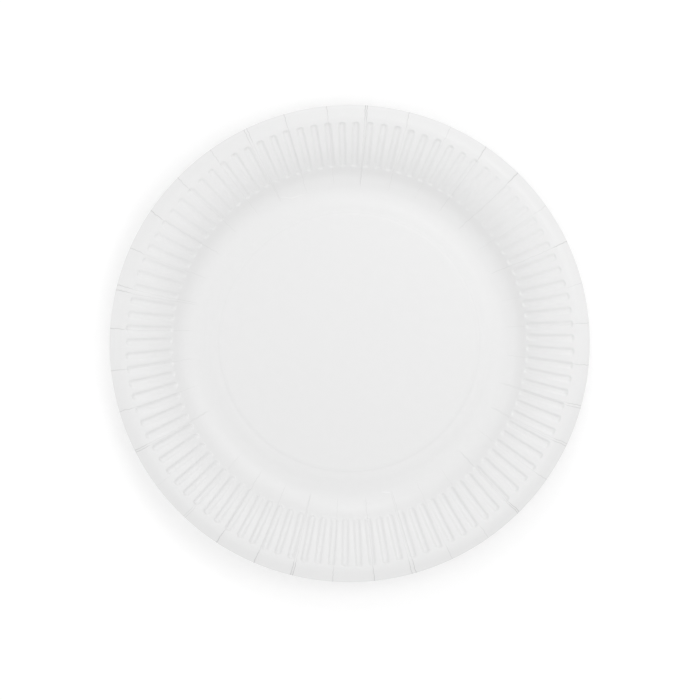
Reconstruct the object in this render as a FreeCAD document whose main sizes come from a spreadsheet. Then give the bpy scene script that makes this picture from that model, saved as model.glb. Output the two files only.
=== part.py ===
"""Pressed paperboard plate: one sheet with a raised centre, a fluted wall and a pleated, turned-down rim.

Millimetres, +Z up. The origin is under the centre of the plate, on the surface that the foot stands on.
"""

import FreeCAD, Part
import Sketcher
import math
import os
from FreeCAD import Vector

doc = FreeCAD.newDocument("paper_plate")

# Driving sizes: lengths in millimetres, angles in degrees
SIZES = [
    ("plate_width", 230.0, "across the cut edge"),
    ("plate_height", 17.6, "from the foot to the top of the crest"),
    ("board", 0.4, "thickness of the paperboard"),
    ("ring_step_run", 2.4, "small slope round the centre disc"),
    ("ring_step_drop", 0.4, "how far that slope goes down"),
    ("ring_flat", 3.3, "flat ring outside it"),
    ("foot_slope_run", 3.4, "slope from the flat ring to the foot"),
    ("foot_slope_drop", 0.4, "how far that slope goes down"),
    ("foot_width", 2.6, "flat ring that the plate stands on"),
    ("wall_run", 11.2, "hollow curve of the wall, from the foot to its steepest place"),
    ("wall_angle", 46.0, "slope of the wall at its steepest place"),
    ("flute_run", 23.5, "bulging upper wall that carries the flutes"),
    ("flute_width", 3.85, "a flute, from bank to bank"),
    ("flute_bank", 0.97, "each sloping bank of a flute, in plan"),
    ("flute_depth", 0.9, "from the wall down to a flute's floor"),
    ("flute_gap", 1.44, "wall left between two flutes at their inner ends"),
    ("flute_end", 2.5, "last stretch of the bulge, with a flute's rounded outer end"),
    ("flute_margin", 0.5, "wall left between that end and the crest"),
    ("flute_start", -1.4, "direction of the first flute"),
    ("crest_width", 1.4, "flat top of the wall"),
    ("rim_width", 5.9, "turned-down rim"),
    ("rim_droop", 14.0, "slope of the turned-down rim"),
    ("pleat_count", 36, "score folds round the rim"),
    ("pleat_start", 5.0, "direction of the first fold"),
    ("pleat_width", 0.6, "mouth of a fold"),
    ("pleat_depth", 0.2, "depth of a fold"),
]

# Flat facets that follow the wall's two curves, and that go round a flute's outer end
HOLLOW_BANDS = 3
BULGE_BANDS = 3
END_FACETS_ABOVE = 4
END_FACETS_BELOW = 3

sheet = doc.addObject("Spreadsheet::Sheet", "sizes")
for row, (alias, value, meaning) in enumerate(SIZES, start=1):
    sheet.set(f"A{row}", alias)
    sheet.set(f"B{row}", str(value))
    sheet.set(f"C{row}", meaning)
    sheet.setAlias(f"B{row}", alias)
doc.recompute()


def size(alias):
    """The value of one cell of the sheet."""
    return float(sheet.get(alias))


def origin_part(body, role):
    """A plane or axis of a body's own origin, found by its role."""
    return next(part for part in body.Origin.OriginFeatures if part.Role == role)


def outline_sketch(body, name, plane, corners):
    """A closed outline of straight lines. Each corner is two formulas of the sheet: across and up."""
    sketch = body.newObject("Sketcher::SketchObject", name)
    sketch.AttachmentSupport = (origin_part(body, plane), "")
    sketch.MapMode = "FlatFace"
    count = len(corners)
    # a loose loop to begin with: the constraints pull its corners into place
    turns = [2 * math.pi * i / count for i in range(count + 1)]
    loop = [Vector(math.cos(turn), math.sin(turn), 0) for turn in turns]
    for start, end in zip(loop, loop[1:]):
        sketch.addGeometry(Part.LineSegment(start, end))
    for i, (across, up) in enumerate(corners):
        sketch.addConstraint(Sketcher.Constraint("Coincident", i, 2, (i + 1) % count, 1))
        for kind, axis, formula in (("DistanceX", -2, across), ("DistanceY", -1, up)):
            if formula == "0":
                sketch.addConstraint(Sketcher.Constraint("PointOnObject", i, 1, axis))
            else:
                constraint = sketch.addConstraint(Sketcher.Constraint(kind, -1, 1, i, 1, 1.0))
                sketch.setExpression(f"Constraints[{constraint}]", formula)
    return sketch


def turned(body, name, sketch):
    """What a section sweeps when it is turned once round the plate's axis."""
    feature = body.newObject("PartDesign::Revolution", name)
    feature.Profile = sketch
    feature.ReferenceAxis = (sketch, ["V_Axis"])
    feature.Angle = 360.0
    return feature


# Radii where one stretch of the section meets the next, from the cut edge inwards
EDGE = "sizes.plate_width / 2"
CREST_OUT = f"{EDGE} - sizes.rim_width"
CREST_IN = f"{CREST_OUT} - sizes.crest_width"
FOOT_OUT = f"{CREST_IN} - sizes.flute_run - sizes.wall_run"
FOOT_IN = f"{FOOT_OUT} - sizes.foot_width"
FLAT_OUT = f"{FOOT_IN} - sizes.foot_slope_run"
FLAT_IN = f"{FLAT_OUT} - sizes.ring_flat"
DISC = f"{FLAT_IN} - sizes.ring_step_run"

# The fluted wall laps a little over the dish in the flat foot, and over the rim in the flat crest
DISH_END = f"{FOOT_OUT} - sizes.foot_width / 4"
RIM_END = f"{CREST_IN} + sizes.crest_width / 4"


def make_dish():
    """Centre disc, ring step, flat ring and foot."""
    body = doc.addObject("PartDesign::Body", "dish")
    flat_up = "sizes.foot_slope_drop"
    disc_up = f"{flat_up} + sizes.ring_step_drop"
    under = [("0", disc_up), (DISC, disc_up), (FLAT_IN, flat_up), (FLAT_OUT, flat_up)]
    under += [(FOOT_IN, "0"), (DISH_END, "0")]
    above = [(across, "sizes.board" if up == "0" else f"{up} + sizes.board") for across, up in under]
    section = outline_sketch(body, "dish_section", "XZ_Plane", under + above[::-1])
    turned(body, "dish_turned", section)
    return body


def make_rim():
    """Flat crest and turned-down rim, scored by a fold every few degrees."""
    body = doc.addObject("PartDesign::Body", "rim")
    top = "sizes.plate_height"
    edge_up = f"{top} - sizes.rim_width * tan(sizes.rim_droop)"
    corners = [
        (RIM_END, top),
        (CREST_OUT, top),
        (EDGE, edge_up),
        (f"{EDGE} - sizes.board * sin(sizes.rim_droop)", f"{edge_up} - sizes.board * cos(sizes.rim_droop)"),
        (f"{CREST_OUT} - sizes.board * tan(sizes.rim_droop / 2)", f"{top} - sizes.board"),
        (RIM_END, f"{top} - sizes.board"),
    ]
    ring = turned(body, "rim_turned", outline_sketch(body, "rim_section", "XZ_Plane", corners))

    # The rim is part of a cone whose tip is high over the plate's centre. A V drawn at that tip and pushed
    # down one of the cone's straight lines scores the rim and passes clear over the crest.
    tip = f"{top} + ({CREST_OUT}) * tan(sizes.rim_droop)"
    over = f"{tip} + sizes.pleat_depth"
    notch = [("0", f"{tip} - sizes.pleat_depth"), ("sizes.pleat_width", over), ("-sizes.pleat_width", over)]
    fold = body.newObject("PartDesign::Pocket", "fold")
    fold.Profile = outline_sketch(body, "fold_section", "YZ_Plane", notch)
    fold.UseCustomVector = True
    fold.AlongSketchNormal = False
    fold.setExpression("Direction.x", "cos(sizes.pleat_start) * cos(sizes.rim_droop)")
    fold.setExpression("Direction.y", "sin(sizes.pleat_start) * cos(sizes.rim_droop)")
    fold.setExpression("Direction.z", "-sin(sizes.rim_droop)")
    fold.setExpression("Length", "sizes.plate_width")

    folds = body.newObject("PartDesign::PolarPattern", "folds")
    folds.Originals = [fold]
    folds.Axis = (origin_part(body, "Z_Axis"), [""])
    folds.Angle = 360.0
    folds.setExpression("Occurrences", "sizes.pleat_count")
    body.Tip = folds
    return body, ring


def wall_section():
    """Corners of the wall's upper side from the foot to the crest, as (radius, height, slope).

    Two arcs meet where the wall is steepest. The slope that the second one ends with follows from the height
    that is left for it to climb.
    """
    steepest = math.radians(size("wall_angle"))
    crest_in = size("plate_width") / 2 - size("rim_width") - size("crest_width")
    wall_top = crest_in - size("flute_run")
    hollow = size("wall_run") / math.sin(steepest)
    section = []
    for i in range(HOLLOW_BANDS + 1):
        slope = steepest * i / HOLLOW_BANDS
        radius = wall_top - size("wall_run") + hollow * math.sin(slope)
        section.append((radius, size("board") + hollow * (1 - math.cos(slope)), slope))

    middle = section[-1][1]
    climb = size("plate_height") - middle
    crest_slope = 2 * math.atan(climb / size("flute_run")) - steepest
    bulge = size("flute_run") / (math.sin(steepest) - math.sin(crest_slope))
    end_slope = math.asin(math.sin(crest_slope) + size("flute_end") / bulge)
    for i in range(1, BULGE_BANDS + 1):
        slope = steepest + (end_slope - steepest) * i / BULGE_BANDS
        radius = wall_top + bulge * (math.sin(steepest) - math.sin(slope))
        section.append((radius, middle + bulge * (math.cos(slope) - math.cos(steepest)), slope))
    section.append((crest_in, size("plate_height"), 0.0))
    return section


def side_facets(section, turn, widening, end_facets):
    """One side of the board over one flute, as flat facets given by their corners.

    section holds (radius, height) from the foot to the crest, turn is the angle of half a pitch, and the
    flute's middle line lies over the X axis. A flute's banks run side by side with the edges of the lands, and
    both climb at one rate, so every facet is truly flat. widening is what the board's thickness adds on each
    side of a flute, seen from below.
    """
    half_width = size("flute_width") / 2 + widening
    half_floor = half_width - size("flute_bank")
    depth = size("flute_depth")
    pitch = FreeCAD.Rotation(Vector(0, 0, 1), math.degrees(2 * turn))

    def land_middle(corner, side):
        radius, up = corner
        return Vector(radius * math.cos(turn), side * radius * math.sin(turn), up)

    def bank_top(corner, side):
        radius, up = corner
        return Vector(math.sqrt(radius**2 - half_width**2), side * half_width, up)

    def joined(inner, outer):
        """Between a ring whose corners are in the lands' middles and one whose corners are the banks' tops."""
        return [
            [land_middle(inner, -1), bank_top(outer, -1), bank_top(outer, 1), land_middle(inner, 1)],
            [land_middle(inner, 1), bank_top(outer, 1), pitch.multVec(bank_top(outer, -1))],
        ]

    mouth = section[HOLLOW_BANDS]
    last = section[-1]
    foot_lap = (section[0][0] - size("foot_width") / 2, section[0][1])
    crest_lap = (last[0] + size("crest_width") / 2, last[1])
    hollow = [foot_lap] + section[:HOLLOW_BANDS]
    facets = []
    for low, high in zip(hollow, hollow[1:]):
        facets.append([land_middle(low, -1), land_middle(high, -1), land_middle(high, 1), land_middle(low, 1)])
    facets += joined(hollow[-1], mouth)
    facets += joined(crest_lap, last)

    # lands between this flute and the next
    for low, high in zip(section[HOLLOW_BANDS:], section[HOLLOW_BANDS + 1 :]):
        across = [pitch.multVec(bank_top(high, -1)), pitch.multVec(bank_top(low, -1))]
        facets.append([bank_top(low, 1), bank_top(high, 1)] + across)

    # banks and floor, from the level shelf at the inner end to the start of the rounded end
    tops = [bank_top(corner, 1) for corner in section[HOLLOW_BANDS:-1]]
    climb = (tops[1].z - tops[0].z) / (tops[1].x - tops[0].x)
    floor = [Vector(tops[0].x + depth / climb, half_floor, tops[0].z)]
    floor += [Vector(top.x, half_floor, top.z - depth) for top in tops[1:]]

    def mirrored(point):
        return Vector(point.x, -point.y, point.z)

    facets.append([tops[0], floor[0], mirrored(floor[0]), mirrored(tops[0])])
    for i in range(len(tops) - 1):
        bank = [tops[i], tops[i + 1], floor[i + 1], floor[i]]
        facets.append(bank)
        facets.append([mirrored(point) for point in bank])
        facets.append([floor[i], floor[i + 1], mirrored(floor[i + 1]), mirrored(floor[i])])

    # rounded outer end
    start, end = tops[-1], bank_top(last, 1)
    climb = (end.z - start.z) / (end.x - start.x)
    reach = size("flute_end") - size("flute_margin") + widening
    brim = []
    bottom = []
    for i in range(end_facets + 1):
        round_turn = math.pi * (i / end_facets - 0.5)
        for points, share, drop in ((brim, 1.0, 0.0), (bottom, half_floor / half_width, depth)):
            out = reach * share * math.cos(round_turn)
            beside = half_width * share * math.sin(round_turn)
            points.append(Vector(start.x + out, beside, start.z + climb * out - drop))
    for i in range(end_facets):
        facets.append([brim[i], brim[i + 1], bottom[i + 1], bottom[i]])
    facets.append(bottom)
    facets.append([mirrored(end)] + brim + [end])
    laps = [[land_middle(lap, side) for side in (-1, 1)] for lap in (foot_lap, crest_lap)]
    return facets, laps


def flat_face(corners):
    return Part.Face(Part.makePolygon(corners + corners[:1]))


def make_fluted_wall():
    """Hollow and bulging wall with its flutes: the facets of one pitch, repeated round the plate and sewn."""
    section = wall_section()
    board = size("board")
    above = [(radius, up) for radius, up, _ in section]
    below = [(radius + board * math.sin(slope), up - board * math.cos(slope)) for radius, up, slope in section]
    mouth_length = 2 * math.pi * above[HOLLOW_BANDS][0]
    count = int(mouth_length / (size("flute_width") + size("flute_gap")))
    turn = math.pi / count
    widening = board * math.tan(math.atan(size("flute_depth") / size("flute_bank")) / 2)

    facets, laps_above = side_facets(above, turn, 0.0, END_FACETS_ABOVE)
    facets_below, laps_below = side_facets(below, turn, widening, END_FACETS_BELOW)
    facets += facets_below
    facets += [top + bottom[::-1] for top, bottom in zip(laps_above, laps_below)]
    one_pitch = [flat_face(corners) for corners in facets]

    faces = []
    for i in range(count):
        place = FreeCAD.Placement(Vector(0, 0, 0), Vector(0, 0, 1), math.degrees(2 * turn * i))
        for face in one_pitch:
            copy = face.copy()
            copy.transformShape(place.toMatrix())
            faces.append(copy)
    shell = Part.makeShell(faces)
    shell.sewShape()

    wall = doc.addObject("Part::Feature", "fluted_wall")
    wall.Shape = Part.makeSolid(shell)
    wall.Placement = FreeCAD.Placement(Vector(0, 0, 0), Vector(0, 0, 1), size("flute_start"))
    return wall


dish = make_dish()
rim, rim_turned = make_rim()
fluted_wall = make_fluted_wall()

plate = doc.addObject("Part::MultiFuse", "plate")
plate.Label = "plate"
plate.Shapes = [dish, fluted_wall, rim]
plate.Refine = True
doc.recompute()

for item in doc.Objects:
    if "Invalid" in item.State or "Error" in item.State:
        raise RuntimeError(f"{item.Name} did not compute: {item.State}")
for item in (dish, rim, fluted_wall, plate):
    if item.Shape.isNull() or not item.Shape.isValid():
        raise RuntimeError(f"{item.Name} has no valid shape")
scored = rim_turned.Shape.Volume - rim.Shape.Volume
if scored <= 0:
    raise RuntimeError("the folds cut nothing from the rim")
if len(plate.Shape.Solids) != 1:
    raise RuntimeError("the plate is not one solid")

os.makedirs("parts", exist_ok=True)
plate.Shape.exportStep(f"parts/{plate.Label}.step")
box = plate.Shape.BoundBox
print(f"flutes and folds: {len(plate.Shape.Faces)} faces, folds take {scored:.2f} mm3")
print(f"plate: {box.XLength:.2f} x {box.YLength:.2f} x {box.ZLength:.2f} mm, {plate.Shape.Volume:.0f} mm3")
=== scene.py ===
# %% [markdown]
# # A pressed paperboard plate
#
# The real plate is one round sheet of white board. A hot die presses it into a dish in one stroke:
# the board has no spare cloth to give, so the wall gathers into score folds, and a hundred small
# flutes take up the rest and stiffen the wall. This lesson makes that sheet as one closed mesh,
# from a section, a flute and a fold.

# %% The frame
import math
import bpy
import numpy as np
from mathutils import Matrix, Vector


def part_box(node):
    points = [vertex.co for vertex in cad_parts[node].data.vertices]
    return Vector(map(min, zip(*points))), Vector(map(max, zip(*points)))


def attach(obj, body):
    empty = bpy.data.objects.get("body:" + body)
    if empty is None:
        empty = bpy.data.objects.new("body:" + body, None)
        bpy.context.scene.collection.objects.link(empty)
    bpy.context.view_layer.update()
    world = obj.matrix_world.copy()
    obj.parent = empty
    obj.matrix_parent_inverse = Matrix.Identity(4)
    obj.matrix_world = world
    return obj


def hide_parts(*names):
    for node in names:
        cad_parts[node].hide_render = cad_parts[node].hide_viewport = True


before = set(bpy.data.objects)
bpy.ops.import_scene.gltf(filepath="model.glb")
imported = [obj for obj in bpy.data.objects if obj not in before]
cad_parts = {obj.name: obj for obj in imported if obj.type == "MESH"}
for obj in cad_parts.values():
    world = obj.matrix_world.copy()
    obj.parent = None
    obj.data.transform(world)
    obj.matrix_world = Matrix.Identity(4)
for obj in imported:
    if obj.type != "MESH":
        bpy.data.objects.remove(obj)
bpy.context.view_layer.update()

MM = 0.001
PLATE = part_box("plate")
EDGE = (PLATE[1].x - PLATE[0].x) / 2 / MM
TOP = PLATE[1].z / MM
print(f"plate: {2 * EDGE:.1f} mm across, {TOP:.1f} mm high")

# %% [markdown]
# ## The section
#
# A press die is turned on a lathe, so its section is made of straight lines and arcs. On an arc the
# sine of the slope changes evenly with the radius, and on a straight line it stays the same. So a
# short list of radii and sines describes the whole section, with every corner rounded as a die's
# corners are, and adding the slope up along the radius gives the height. This is shorter than a
# list of points, and one corner can be moved alone.

# %% The section
BOARD = 0.4
FOOT_OUT = EDGE - 42.0
WALL_TOP = EDGE - 30.8
CREST_IN = EDGE - 7.3
CREST_OUT = EDGE - 5.9
STEEPEST = math.sin(math.radians(46.0))
SLOPES = [
    (0.0, 0.0),
    (EDGE - 53.1, 0.0),
    (EDGE - 52.5, -0.20),
    (EDGE - 51.2, -0.20),
    (EDGE - 50.6, 0.0),
    (EDGE - 48.2, 0.0),
    (EDGE - 47.5, -0.15),
    (EDGE - 44.9, -0.15),
    (EDGE - 44.0, 0.0),
    (FOOT_OUT, 0.0),
    (WALL_TOP, STEEPEST),
    (CREST_IN - 0.5, 0.19),
    (CREST_OUT - 0.2, 0.15),
    (CREST_OUT + 0.5, 0.0),
    (CREST_OUT + 1.2, -0.15),
    (EDGE - 3.2, -0.235),
    (EDGE - 1.7, -0.28),
    (EDGE, -0.29),
]
FINE_STEPS = 5751
FINE = np.linspace(0.0, EDGE, FINE_STEPS)
FINE_SINE = np.interp(FINE, *np.array(SLOPES).T)
FINE_RISE = np.tan(np.arcsin(FINE_SINE))
FINE_HEIGHT = np.concatenate([[0.0], np.cumsum(np.diff(FINE) * (FINE_RISE[1:] + FINE_RISE[:-1]) / 2)])
FINE_HEIGHT += TOP - FINE_HEIGHT.max()


def sine_at(radius):
    """Sine of the section's slope at a radius: a straight line between the corners of the list."""
    return np.interp(radius, FINE, FINE_SINE)


def height_at(radius):
    """Height of the eating side: the slope added up from the foot to that radius."""
    return np.interp(radius, FINE, FINE_HEIGHT)


PLACES = {"disc": 0, "foot": FOOT_OUT, "steepest place": WALL_TOP, "crest": CREST_OUT, "edge": EDGE}
for name, radius in PLACES.items():
    print(f"{name}: top side {height_at(radius):.2f} mm over the floor")

# %% [markdown]
# ## Flutes
#
# Each flute is a channel that the die pushes down into the bulging wall: parallel sides, rounded
# shoulders, a narrow floor and two rounded ends. A hundred cuts with a bent tool would be slow and
# would leave a rough mesh, so the depth is a formula. The distance beside the middle line and the
# distance past an end are the two short sides of a right triangle, and the depth follows its long
# side, so sides and ends are rounded alike. No press is quite even: a short list gives how deep the
# flutes are in sixteen directions, clockwise from the right, judged from the photograph's shading,
# and a little chance is added to each flute.

# %% Flutes
FLUTES = 100
FLUTE_START = -1.4
FLUTE_HALF = 1.925
FLUTE_BANK = (0.3, 1.05)
FLUTE_DEPTH = 0.85
FLUTE_MOUTH = WALL_TOP + 1.0
INNER_END, INNER_REACH = FLUTE_MOUTH + 2.0, 1.9
OUTER_END, OUTER_REACH = CREST_IN - 1.7, 1.3
WIDENING = 0.16
PITCH = 2 * math.pi / FLUTES
DEPTH_CHANCE = (0.95, 1.05)
LENGTH_CHANCE = 0.25
rng = np.random.default_rng(7)
PRESSED = [0.95, 1.0, 1.1, 1.15, 1.05, 1.3, 1.2, 1.15, 0.9, 0.6, 0.65, 1.0, 1.1, 1.0, 0.4, 0.75]
pressed_turns = 360.0 / len(PRESSED) * np.arange(len(PRESSED))
flute_turns = (-FLUTE_START - 360.0 / FLUTES * np.arange(FLUTES)) % 360.0
flute_deeper = rng.uniform(*DEPTH_CHANCE, FLUTES)
flute_deeper = flute_deeper * np.interp(flute_turns, pressed_turns, PRESSED, period=360.0)
flute_longer = rng.uniform(-LENGTH_CHANCE, LENGTH_CHANCE, FLUTES)
shallowest, deepest = FLUTE_DEPTH * flute_deeper.min(), FLUTE_DEPTH * flute_deeper.max()
print(f"{FLUTES} flutes, {shallowest:.2f} to {deepest:.2f} mm deep")


def ramp(value, start, end):
    """0 before start and 1 after end, with no corner at either."""
    part = np.clip((value - start) / (end - start), 0.0, 1.0)
    return part * part * (3.0 - 2.0 * part)


def flute_depth(radius, angle, widening):
    """How far the surface lies under the plain wall.

    The flute's depth, times 1 minus a smooth ramp of the distance from its middle line and ends, in shares
    of its half width and of the reach of its ends.
    """
    turns = (angle - math.radians(FLUTE_START)) / PITCH
    which = np.round(turns).astype(int) % FLUTES
    beside = radius * np.sin((turns - np.round(turns)) * PITCH) / (FLUTE_HALF + widening)
    outside = (radius - OUTER_END - flute_longer[which]) / (OUTER_REACH + widening)
    inside = (INNER_END - radius) / (INNER_REACH + widening)
    past = np.maximum(np.maximum(outside, inside), 0.0)
    return FLUTE_DEPTH * flute_deeper[which] * (1.0 - ramp(np.hypot(beside, past), *FLUTE_BANK))


# %% [markdown]
# ## Score folds
#
# The flat sheet is scored before it is pressed, about every ten degrees. In the press each score
# closes into a tiny pleat, from the foot to the cut edge. Some close to one hair line and some to
# two, and one side often rides a little higher than the other. Directions, widths and depths are
# measured in the photograph, because the scores are never quite evenly spaced and no two folds
# close alike. Only on the rim does the mesh dip into a fold. Below the crest the folds are thinner
# than the mesh, and the material draws them with a bump. All along each fold the material also
# paints a thin line of shade into the colour.

# %% Score folds
FOLD_TURNS = [
    4.6, 15.0, 24.7, 34.4, 44.8, 54.3, 64.5, 74.4, 84.2, 94.3, 104.4, 114.0,
    124.3, 134.2, 144.3, 154.1, 164.4, 174.4, 184.6, 194.5, 204.5, 214.5, 224.6, 234.8,
    244.3, 254.2, 264.4, 273.8, 284.1, 294.3, 304.1, 313.8, 324.1, 333.9, 344.7, 354.3,
]
FOLD_WIDTHS = [
    0.0, 0.7, 0.7, 0.0, 0.5, 0.0, 0.0, 1.1, 0.0, 0.0, 0.6, 0.0,
    0.0, 0.6, 0.0, 0.6, 0.0, 0.0, 0.0, 1.3, 0.0, 0.0, 0.0, 0.0,
    0.8, 0.0, 0.0, 0.5, 0.0, 0.0, 0.0, 0.0, 0.0, 0.0, 0.0, 0.0,
]
FOLD_DEPTHS = [
    0.6, 0.8, 0.8, 0.6, 1.0, 0.5, 0.5, 0.9, 0.9, 0.7, 1.0, 0.9,
    1.0, 0.4, 0.2, 0.9, 0.6, 0.6, 0.8, 0.8, 0.6, 0.9, 0.6, 0.6,
    0.7, 0.7, 0.6, 1.0, 0.6, 0.4, 0.9, 1.0, 0.4, 1.0, 0.3, 0.6,
]
FOLDS = len(FOLD_TURNS)
FOLD_SPACING = 2 * math.pi / FOLDS
VALLEY_DEPTH, VALLEY_WIDTH = 0.05, 0.4
LAP_HEIGHT, LAP_WIDTH, LAP_REACH = 0.06, 0.4, 3.0
fold_side = rng.choice([-1.0, 1.0], FOLDS)
print(f"{FOLDS} folds, {sum(width > 0 for width in FOLD_WIDTHS)} of them double")


def fold_place(angle):
    """Where a direction lies among the folds: a whole number on a fold, and even steps between two."""
    clockwise = np.degrees(-angle) % 360.0
    turns = np.array([FOLD_TURNS[-1] - 360.0] + FOLD_TURNS + [FOLD_TURNS[0] + 360.0])
    return np.interp(clockwise, turns, np.arange(-1.0, FOLDS + 1.0))


def fold_relief(radius, place):
    """Height that the folds add on the rim.

    A rounded valley along each line, and a lap: one side higher, which fades away from the fold.
    """
    which = np.round(place).astype(int) % FOLDS
    away = (place - np.round(place)) * radius * FOLD_SPACING
    strength = ramp(radius, CREST_IN, CREST_OUT + 1.0)
    half = np.radians(np.array(FOLD_WIDTHS)[which]) / 2 * radius
    valley = -VALLEY_DEPTH * np.exp(-(((np.abs(away) - half) / VALLEY_WIDTH) ** 2))
    lap = LAP_HEIGHT * fold_side[which] * np.tanh(away / LAP_WIDTH) * np.exp(-np.abs(away) / LAP_REACH)
    return (valley + lap) * np.array(FOLD_DEPTHS)[which] * strength


# %% [markdown]
# ## A sheet that has sprung back
#
# Out of the press the board springs back a little, so the rim is never quite level and the middle
# never quite flat. A few slow waves round the rim, all downwards from the crest, keep the plate
# from looking turned on a lathe. They stay far smaller than the flutes.


# %% Spring-back
SAG = 0.35
STEADY_SHARE = 0.5
SAG_WAVES = [(2, 0.22, 0.7), (3, 0.16, -1.1), (5, 0.12, 2.0)]


def spring_back(radius, angle):
    """Slow sag of the rim: a steady share and a few cosines of the direction, growing towards the edge."""
    waves = STEADY_SHARE
    for times, share, shift in SAG_WAVES:
        waves = waves + share * np.cos(times * angle + shift)
    return -SAG * waves * ramp(radius, WALL_TOP, EDGE)


# %% [markdown]
# ## One closed sheet
#
# The mesh is a grid: rows are circles, and columns run from the centre over the rim and back under
# the board. Over the flutes the columns follow the flutes' sides, so a bank gets its bend where the
# real one has it, and on the plain rim they are evenly spaced. One array holds all the radii and
# one all the directions, so the formulas above work on the whole plate at once.

# %% Rows and columns
ACROSS = np.array([-1.15, -0.92, -0.74, -0.56, -0.35, 0.0, 0.35, 0.56, 0.74, 0.92, 1.15])
COLUMNS_A_FLUTE = len(ACROSS)
EVEN_FROM = (CREST_IN - 0.2, CREST_IN + 1.2)


def stations(*stretches):
    """Radii of the rows: each stretch goes from one radius to the next in a number of steps."""
    parts = [np.linspace(start, end, steps, endpoint=False) for start, end, steps in stretches]
    return np.concatenate(parts + [[stretches[-1][1]]])


def grid_angles(radius, widening):
    """Directions of the columns on each circle: along the flutes' sides, and evenly spaced on the rim."""
    beside = (FLUTE_HALF + widening) * ACROSS[None, :] / np.maximum(radius, WALL_TOP)[:, None]
    even = (np.arange(COLUMNS_A_FLUTE) - (COLUMNS_A_FLUTE - 1) / 2) / COLUMNS_A_FLUTE * PITCH
    share = ramp(radius, *EVEN_FROM)[:, None]
    one = np.arcsin(beside) * (1 - share) + even[None, :] * share
    starts = math.radians(FLUTE_START) + PITCH * np.arange(FLUTES)
    return (one[:, None, :] + starts[None, :, None]).reshape(len(radius), -1)


above = stations(
    (16.0, 60.6, 3),
    (60.6, 65.0, 9),
    (65.0, 73.0, 8),
    (73.0, FLUTE_MOUTH - 0.2, 9),
    (FLUTE_MOUTH - 0.2, INNER_END, 9),
    (INNER_END, OUTER_END, 5),
    (OUTER_END, CREST_IN + 0.6, 9),
    (CREST_IN + 0.6, EDGE, 8),
)
below = stations(
    (16.0, 61.0, 1),
    (61.0, 65.0, 4),
    (65.0, 73.0, 4),
    (73.0, FLUTE_MOUTH, 3),
    (FLUTE_MOUTH, INNER_END, 4),
    (INNER_END, OUTER_END, 2),
    (OUTER_END, CREST_IN + 0.6, 4),
    (CREST_IN + 0.6, EDGE, 3),
)[::-1]
print(f"{len(above)} rows above, {len(below)} below, {FLUTES * COLUMNS_A_FLUTE} columns")


# %% The plate
def surface(radius, underside):
    """Points of one side of the board over a grid.

    The height is that of the section, with the folds and the spring-back added and the flutes taken off. The
    underside is set off from the section by the board's thickness, square to the slope.
    """
    angle = grid_angles(radius, WIDENING if underside else 0.0)
    ring = np.broadcast_to(radius[:, None], angle.shape)
    place = fold_place(angle)
    up = height_at(ring) + fold_relief(ring, place) + spring_back(ring, angle)
    up = up - flute_depth(ring, angle, WIDENING if underside else 0.0)
    out = ring
    if underside:
        out = ring + BOARD * sine_at(ring)
        up = up - BOARD * np.sqrt(1 - sine_at(ring) ** 2)
    points = np.stack([out * np.cos(angle), out * np.sin(angle), np.clip(up, 0.0, TOP)], axis=2)
    return points, place, ring


upper, lower = surface(above, False), surface(below, True)
points, place, ring = (np.concatenate(pair) for pair in zip(upper, lower))
rows, columns = place.shape
middle = [[0.0, 0.0, height_at(0.0)], [0.0, 0.0, height_at(0.0) - BOARD]]
vertices = np.concatenate([points.reshape(-1, 3), middle]) * MM

here = np.arange(rows * columns).reshape(rows, columns)
beside = np.roll(here, -1, axis=1)
quads = np.stack([here[:-1], here[1:], beside[1:], beside[:-1]], axis=2).reshape(-1, 4)
fan_above = np.stack([np.full(columns, rows * columns), here[0], beside[0]], axis=1)
fan_below = np.stack([np.full(columns, rows * columns + 1), beside[-1], here[-1]], axis=1)
corners = np.concatenate([quads.ravel(), fan_above.ravel(), fan_below.ravel()])
sizes = np.concatenate([np.full(len(quads), 4), np.full(2 * columns, 3)])
starts = np.concatenate([[0], np.cumsum(sizes)[:-1]])

mesh = bpy.data.meshes.new("plate_sheet")
mesh.vertices.add(len(vertices))
mesh.vertices.foreach_set("co", vertices.ravel())
mesh.loops.add(len(corners))
mesh.loops.foreach_set("vertex_index", corners.astype(np.int32))
mesh.polygons.add(len(sizes))
mesh.polygons.foreach_set("loop_start", starts.astype(np.int32))
mesh.polygons.foreach_set("use_smooth", np.ones(len(sizes), bool))
mesh.update(calc_edges=True)
SHARP_ANGLE = math.radians(50)
mesh.set_sharp_from_angle(angle=SHARP_ANGLE)

# %% [markdown]
# The folds are finer than the mesh, so the material draws their lines: a bump and painted shade in
# the colour. It has to know where it is on the sheet as it was before pressing: a UV map holds the
# fold count across and the radius up, so a fold is wherever the first number is whole. The count
# starts again after a full turn, and the last column's cells go on counting instead, so the map has
# no tear. Width and depth of the nearest fold ride along as attributes.

# %% Unrolled map
count = np.append(place.ravel(), [0.0, 0.0])[corners]
first = count[np.repeat(starts, sizes)]
count = count + FOLDS * (count < first - FOLDS / 2) - FOLDS * (count > first + FOLDS / 2)
reach = np.append(ring.ravel(), [0.0, 0.0])[corners]
unrolled = mesh.uv_layers.new(name="unrolled")
unrolled.uv.foreach_set("vector", np.stack([count, reach / EDGE], axis=1).astype(np.float32).ravel())
nearest = np.round(place).astype(int).ravel() % FOLDS
for name, values in (("fold_width", FOLD_WIDTHS), ("fold_depth", FOLD_DEPTHS), ("fold_side", fold_side)):
    layer = mesh.attributes.new(name, "FLOAT", "POINT")
    layer.data.foreach_set("value", np.append(np.array(values)[nearest], [0.0, 0.0]).astype(np.float32))

plate = bpy.data.objects.new("plate_sheet", mesh)
bpy.context.scene.collection.objects.link(plate)
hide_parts("plate")
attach(plate, "root")
print(f"{len(mesh.vertices)} vertices, {2 * len(quads) + 2 * columns} triangles")
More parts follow.
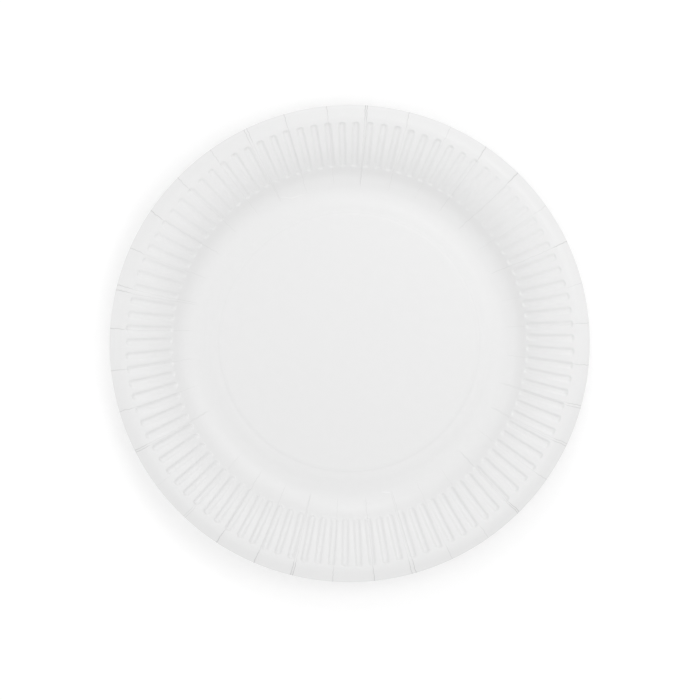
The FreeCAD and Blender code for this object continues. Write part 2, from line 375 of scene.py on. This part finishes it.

# %% [markdown]
# ## Paperboard
#
# White board is matte, with long soft fibres under a thin coat. Two node groups make it: one draws
# the score folds and the fine line that the die leaves round the centre disc, as painted shade in the
# colour with a bump, and one gives the fibres. Each gives a mask for the colour and a height in
# millimetres for the bump. The folds' mask is painted shade, with a painted highlight on the buckles,
# and the fibres' mask is the board's own mottled white.


# %% Node helpers
def calc(tree, operation, *terms):
    """One step of arithmetic in a node tree, on plain numbers and other nodes' outputs."""
    step = tree.nodes.new("ShaderNodeMath")
    step.operation = operation
    for socket, term in zip(step.inputs, terms):
        if isinstance(term, bpy.types.NodeSocket):
            tree.links.new(term, socket)
        else:
            socket.default_value = term
    return step.outputs[0]


def between(tree, value, points):
    """A smooth curve through two or more (value, result) points, flat outside them."""
    total = points[0][1]
    for (start, low), (end, high) in zip(points, points[1:]):
        span = tree.nodes.new("ShaderNodeMapRange")
        span.interpolation_type = "SMOOTHSTEP"
        span.inputs["From Min"].default_value = start
        span.inputs["From Max"].default_value = end
        span.inputs["To Min"].default_value = 0.0
        span.inputs["To Max"].default_value = high - low
        tree.links.new(value, span.inputs["Value"])
        total = calc(tree, "ADD", total, span.outputs["Result"])
    return total


def hair(tree, distance, half_width):
    """1 on a line and 0 away from it, fading like a soft pencil stroke."""
    share = calc(tree, "DIVIDE", distance, half_width)
    return calc(tree, "EXPONENT", calc(tree, "MULTIPLY", calc(tree, "MULTIPLY", share, share), -1.0))


def attribute(tree, name):
    """A number that the mesh holds at each point."""
    reader = tree.nodes.new("ShaderNodeAttribute")
    reader.attribute_name = name
    return reader.outputs["Fac"]


def group_tree(name, outputs):
    """An empty node group with the given number outputs."""
    tree = bpy.data.node_groups.new(name, "ShaderNodeTree")
    for output in outputs:
        tree.interface.new_socket(output, in_out="OUTPUT", socket_type="NodeSocketFloat")
    return tree, tree.nodes.new("NodeGroupOutput")


# %% Score folds and the disc's line, drawn as painted shade
STRAY_REACH, STRAY_PACE, STRAY_APART = 0.9, 0.45, 7.3
FOLD_LINE, FOLD_DIP = 0.11, 0.10
DOUBLE_FROM = FOOT_OUT - 12.0
LIP_AWAY, LIP_WIDTH, LIP_HEIGHT = 0.45, 0.25, 0.05
# The disc's line is painted shade in the colour: its radius, width and how much it darkens.
DISC_LINE, DISC_LINE_WIDTH, DISC_LINE_PAINTED_SHADE = EDGE - 51.6, 0.22, 0.06
FOLD_ALONG = [
    (FOOT_OUT + 2.0, 0.0), (FOOT_OUT + 6.0, 0.35), (WALL_TOP, 0.30), (WALL_TOP + 3.0, 0.25),
    (CREST_IN - 1.0, 0.30), (CREST_OUT, 0.85), (EDGE, 1.0),
]
folds, out = group_tree("score_folds", ("PaintedLight", "Height"))
where = folds.nodes.new("ShaderNodeUVMap")
where.uv_map = "unrolled"
parts = folds.nodes.new("ShaderNodeSeparateXYZ")
folds.links.new(where.outputs["UV"], parts.inputs[0])
radius = calc(folds, "MULTIPLY", parts.outputs["Y"], EDGE)
whole = calc(folds, "ROUND", parts.outputs["X"])
noise = folds.nodes.new("ShaderNodeTexNoise")
noise.noise_dimensions = "2D"
noise.inputs["Scale"].default_value = 1.0
noise.inputs["Detail"].default_value = 1.0
spot = folds.nodes.new("ShaderNodeCombineXYZ")
folds.links.new(calc(folds, "MULTIPLY", whole, STRAY_APART), spot.inputs["X"])
folds.links.new(calc(folds, "MULTIPLY", radius, STRAY_PACE), spot.inputs["Y"])
folds.links.new(spot.outputs[0], noise.inputs["Vector"])
stray = calc(folds, "MULTIPLY", calc(folds, "SUBTRACT", noise.outputs[0], 0.5), STRAY_REACH)
turn = calc(folds, "SUBTRACT", parts.outputs["X"], whole)
away = calc(folds, "MULTIPLY", calc(folds, "MULTIPLY", turn, radius), FOLD_SPACING)
away = calc(folds, "ADD", away, stray)
width = calc(folds, "MULTIPLY", attribute(folds, "fold_width"), math.radians(1.0))
spread = calc(folds, "MULTIPLY", width, calc(folds, "SUBTRACT", radius, DOUBLE_FROM))
line = calc(folds, "ABSOLUTE", calc(folds, "SUBTRACT", calc(folds, "ABSOLUTE", away), spread))
depth = attribute(folds, "fold_depth")
strength = calc(folds, "MULTIPLY", depth, between(folds, radius, FOLD_ALONG))
# Painted shade: each fold's line darkens the colour.
painted_shade_and_highlight = calc(folds, "MULTIPLY", hair(folds, line, FOLD_LINE), strength)
lip_line = calc(folds, "SUBTRACT", calc(folds, "MULTIPLY", away, attribute(folds, "fold_side")), LIP_AWAY)
lip = calc(folds, "MULTIPLY", hair(folds, lip_line, LIP_WIDTH), strength)
# Painted shade: a faint line in the colour round the centre disc.
disc_line_shade = hair(folds, calc(folds, "SUBTRACT", radius, DISC_LINE), DISC_LINE_WIDTH)
painted_shade_and_highlight = calc(folds, "ADD", painted_shade_and_highlight, calc(folds, "MULTIPLY", disc_line_shade, DISC_LINE_PAINTED_SHADE))
dip = calc(folds, "MULTIPLY", painted_shade_and_highlight, -FOLD_DIP)

# %% [markdown]
# Two folds didn't find room for all their board, and the rest buckled sideways over the foot. Each
# buckle is a low ridge that starts at its fold and curves away from it, gentle outside and steep
# inside, with a painted highlight: a thin lighter line in the colour along its top. Its path is a
# short list of fold counts and radii, read from the photograph.

# %% Buckles
BUCKLES = [
    [(24.0, 78.3), (24.45, 75.6), (25.0, 75.1)],
    [(7.0, 76.4), (7.45, 75.2)],
]
BUCKLE_HEIGHT = 0.05
# How much painted highlight the buckle's top line adds to the colour.
BUCKLE_LINE, BUCKLE_PAINTED_HIGHLIGHT = 0.2, 0.22
BUCKLE_SIDES = [(-1.6, 0.0), (-0.1, BUCKLE_HEIGHT), (0.3, 0.0)]
BUCKLE_GROWS = 0.15
ridges = 0.0
for path in BUCKLES:
    start, end = path[0][0], path[-1][0]
    inside = calc(folds, "SUBTRACT", between(folds, parts.outputs["X"], path), radius)
    ridge = between(folds, inside, BUCKLE_SIDES)
    fade = between(folds, parts.outputs["X"], [
        (start, 0.0), (start + BUCKLE_GROWS, 1.0), ((start + end) / 2, 1.0), (end, 0.0),
    ])
    ridges = calc(folds, "ADD", ridges, calc(folds, "MULTIPLY", ridge, fade))
    # Painted highlight: the buckle's top line lightens the colour.
    highlight_line = calc(folds, "MULTIPLY", hair(folds, inside, BUCKLE_LINE), fade)
    painted_shade_and_highlight = calc(folds, "SUBTRACT", painted_shade_and_highlight, calc(folds, "MULTIPLY", highlight_line, BUCKLE_PAINTED_HIGHLIGHT))
relief = calc(folds, "ADD", dip, calc(folds, "MULTIPLY", lip, LIP_HEIGHT))
folds.links.new(calc(folds, "ADD", relief, ridges), out.inputs["Height"])
folds.links.new(painted_shade_and_highlight, out.inputs["PaintedLight"])
print(f"{len(folds.nodes)} nodes for the folds, the disc's line and {len(BUCKLES)} buckles")

# %% [markdown]
# Board is pressed from wood fibres, so its white is never quite even and its face is never quite
# smooth. A picture of paper would do, but two noises need no picture and have no seam: a slow one
# for the mottled white and a fine one for the tooth that a fingertip feels.

# %% Fibres
MOTTLE_SCALE, TOOTH_SCALE = 220.0, 1600.0
TOOTH_HEIGHT = 0.012
fibres, out = group_tree("fibres", ("Mottle", "Height"))
place_on = fibres.nodes.new("ShaderNodeTexCoord")
mottle = fibres.nodes.new("ShaderNodeTexNoise")
mottle.inputs["Scale"].default_value = MOTTLE_SCALE
mottle.inputs["Detail"].default_value = 4.0
fibres.links.new(place_on.outputs["Object"], mottle.inputs["Vector"])
tooth = fibres.nodes.new("ShaderNodeTexNoise")
tooth.inputs["Scale"].default_value = TOOTH_SCALE
tooth.inputs["Detail"].default_value = 3.0
fibres.links.new(place_on.outputs["Object"], tooth.inputs["Vector"])
fibres.links.new(mottle.outputs[0], out.inputs["Mottle"])
relief = calc(fibres, "MULTIPLY", calc(fibres, "SUBTRACT", tooth.outputs[0], 0.5), TOOTH_HEIGHT)
fibres.links.new(relief, out.inputs["Height"])
print(f"{len(fibres.nodes)} nodes for the fibres")

# %% [markdown]
# The two groups meet in one plain white material. The thin coat gives the board a soft sheen, so the
# hollow of the wall shines a little where it faces a lamp.

# %% Paperboard
WHITE = 0.80
MOTTLE = 0.016
# How much painted shade the folds and the disc's line put into the colour.
FOLD_PAINTED_SHADE = 0.35
paper = bpy.data.materials.new("paperboard")
paper.use_nodes = True
tree = paper.node_tree
shader = tree.nodes["Principled BSDF"]
shader.inputs["Roughness"].default_value = 0.40
shader.inputs["Specular IOR Level"].default_value = 0.5
fold_shade_and_relief = tree.nodes.new("ShaderNodeGroup")
fold_shade_and_relief.node_tree = folds
fibre_marks = tree.nodes.new("ShaderNodeGroup")
fibre_marks.node_tree = fibres
patches = calc(tree, "MULTIPLY", fibre_marks.outputs["Mottle"], MOTTLE)
mottled = calc(tree, "ADD", patches, WHITE - MOTTLE / 2)
# The mask paints shade along the folds and the disc's line, and a highlight on the buckles' tops, into the
# base colour.
dark = calc(tree, "SUBTRACT", 1.0, calc(tree, "MULTIPLY", fold_shade_and_relief.outputs["PaintedLight"], FOLD_PAINTED_SHADE))
shade = calc(tree, "MULTIPLY", mottled, dark)
tree.links.new(shade, shader.inputs["Base Color"])
bump = tree.nodes.new("ShaderNodeBump")
bump.inputs["Strength"].default_value = 1.0
bump.inputs["Distance"].default_value = MM
height = calc(tree, "ADD", fold_shade_and_relief.outputs["Height"], fibre_marks.outputs["Height"])
tree.links.new(height, bump.inputs["Height"])
tree.links.new(bump.outputs["Normal"], shader.inputs["Normal"])
mesh.materials.append(paper)
print(f"{len(tree.nodes)} nodes for the paperboard")

# %% [markdown]
# ## White table
#
# The background is pure white with a faint shadow close under the rim. The table is white paint that
# lights the plate from below as a real one does. What the camera and reflections see of it is part paint
# and part a plain white glow, so the far table is pure white and the shadow under the rim stays, without
# brighter lamps.

# %% Floor
HALF_TABLE = 2.0
UNDER_PLATE = 0.05 * MM
PAINT = 0.97
LESS_PAINT, GLOW = 0.35, 0.44
floor_mesh = bpy.data.meshes.new("floor")
table_corners = [(x * HALF_TABLE, y * HALF_TABLE, 0) for x, y in ((-1, -1), (1, -1), (1, 1), (-1, 1))]
floor_mesh.from_pydata(table_corners, [], [(0, 1, 2, 3)])
floor = bpy.data.objects.new("floor", floor_mesh)
floor.location.z = -UNDER_PLATE
bpy.context.scene.collection.objects.link(floor)
table = bpy.data.materials.new("white_table")
table.use_nodes = True
tree = table.node_tree
tree.nodes.remove(tree.nodes["Principled BSDF"])
paint = tree.nodes.new("ShaderNodeBsdfDiffuse")
plain = tree.nodes.new("ShaderNodeEmission")
path = tree.nodes.new("ShaderNodeLightPath")
seen = calc(tree, "MAXIMUM", path.outputs["Is Camera Ray"], path.outputs["Is Glossy Ray"])
seen = calc(tree, "MAXIMUM", seen, path.outputs["Is Transmission Ray"])
painted = calc(tree, "SUBTRACT", PAINT, calc(tree, "MULTIPLY", seen, LESS_PAINT))
tree.links.new(painted, paint.inputs["Color"])
tree.links.new(calc(tree, "MULTIPLY", seen, GLOW), plain.inputs["Strength"])
both = tree.nodes.new("ShaderNodeAddShader")
tree.links.new(paint.outputs[0], both.inputs[0])
tree.links.new(plain.outputs[0], both.inputs[1])
tree.links.new(both.outputs[0], tree.nodes["Material Output"].inputs["Surface"])
floor_mesh.materials.append(table)
print(f"table: {2 * HALF_TABLE:.0f} m wide, {len(tree.nodes)} nodes")

# %% [markdown]
# ## Light and camera
#
# The shading is very soft: a white room gives most of the light. One lamp stands close over the
# upper right of the plate, so the base is brighter there and falls off to the lower left. Two wide
# lamps, beyond the top and the bottom of the picture, and two small low ones at the left and right
# light the wall and the flutes from the side. The camera looks down from 1 m and leans by a few
# degrees, because the rim's circle isn't quite centred on the foot's.

# %% Lights
ROOM = 0.70
world = bpy.data.worlds.new("world")
bpy.context.scene.world = world
world.use_nodes = True
world.node_tree.nodes["Background"].inputs["Color"].default_value = (1, 1, 1, 1)
world.node_tree.nodes["Background"].inputs["Strength"].default_value = ROOM


def softbox(name, size, spot, power):
    """A square lamp at a spot in metres, facing the middle of the plate."""
    lamp = bpy.data.lights.new(name, "AREA")
    lamp.size = size
    lamp.energy = power
    holder = bpy.data.objects.new(name, lamp)
    holder.location = spot
    flat = math.hypot(spot[0], spot[1])
    holder.rotation_euler = (math.atan2(flat, spot[2]), 0, math.atan2(spot[1], spot[0]) + math.pi / 2)
    bpy.context.scene.collection.objects.link(holder)


softbox("key", 0.24, (0.11, 0.11, 0.40), 0.268)
softbox("far_side", 0.45, (-0.05, 0.95, 0.72), 2.25)
softbox("near_side", 0.50, (0.0, -0.95, 0.72), 1.35)
softbox("left", 0.15, (-0.30, 0.0, 0.30), 0.110)
softbox("right", 0.15, (0.30, 0.0, 0.30), 0.082)
print(f"{len(bpy.data.lights)} lamps")

# %% Camera
PHOTO_WIDTH = 335.2 * MM
DISTANCE = 1.0
AIM = Vector((-0.17, -1.62, 15.9)) * MM
LEAN_ACROSS, LEAN_UP = math.radians(-1.42), math.radians(6.66)
TOWARDS = Vector((math.tan(LEAN_ACROSS), math.tan(LEAN_UP), 1.0)).normalized()
camera = bpy.data.cameras.new("camera")
camera.sensor_width = 36.0
camera.lens = camera.sensor_width * DISTANCE / PHOTO_WIDTH
eye = bpy.data.objects.new("camera", camera)
eye.location = AIM + DISTANCE * TOWARDS
RIGHT = Vector((0, 1, 0)).cross(TOWARDS).normalized()
eye.rotation_euler = Matrix((RIGHT, TOWARDS.cross(RIGHT), TOWARDS)).transposed().to_euler()
bpy.context.scene.collection.objects.link(eye)
bpy.context.scene.camera = eye
bpy.context.scene.view_settings.view_transform = "Standard"
print(f"lens {camera.lens:.0f} mm")
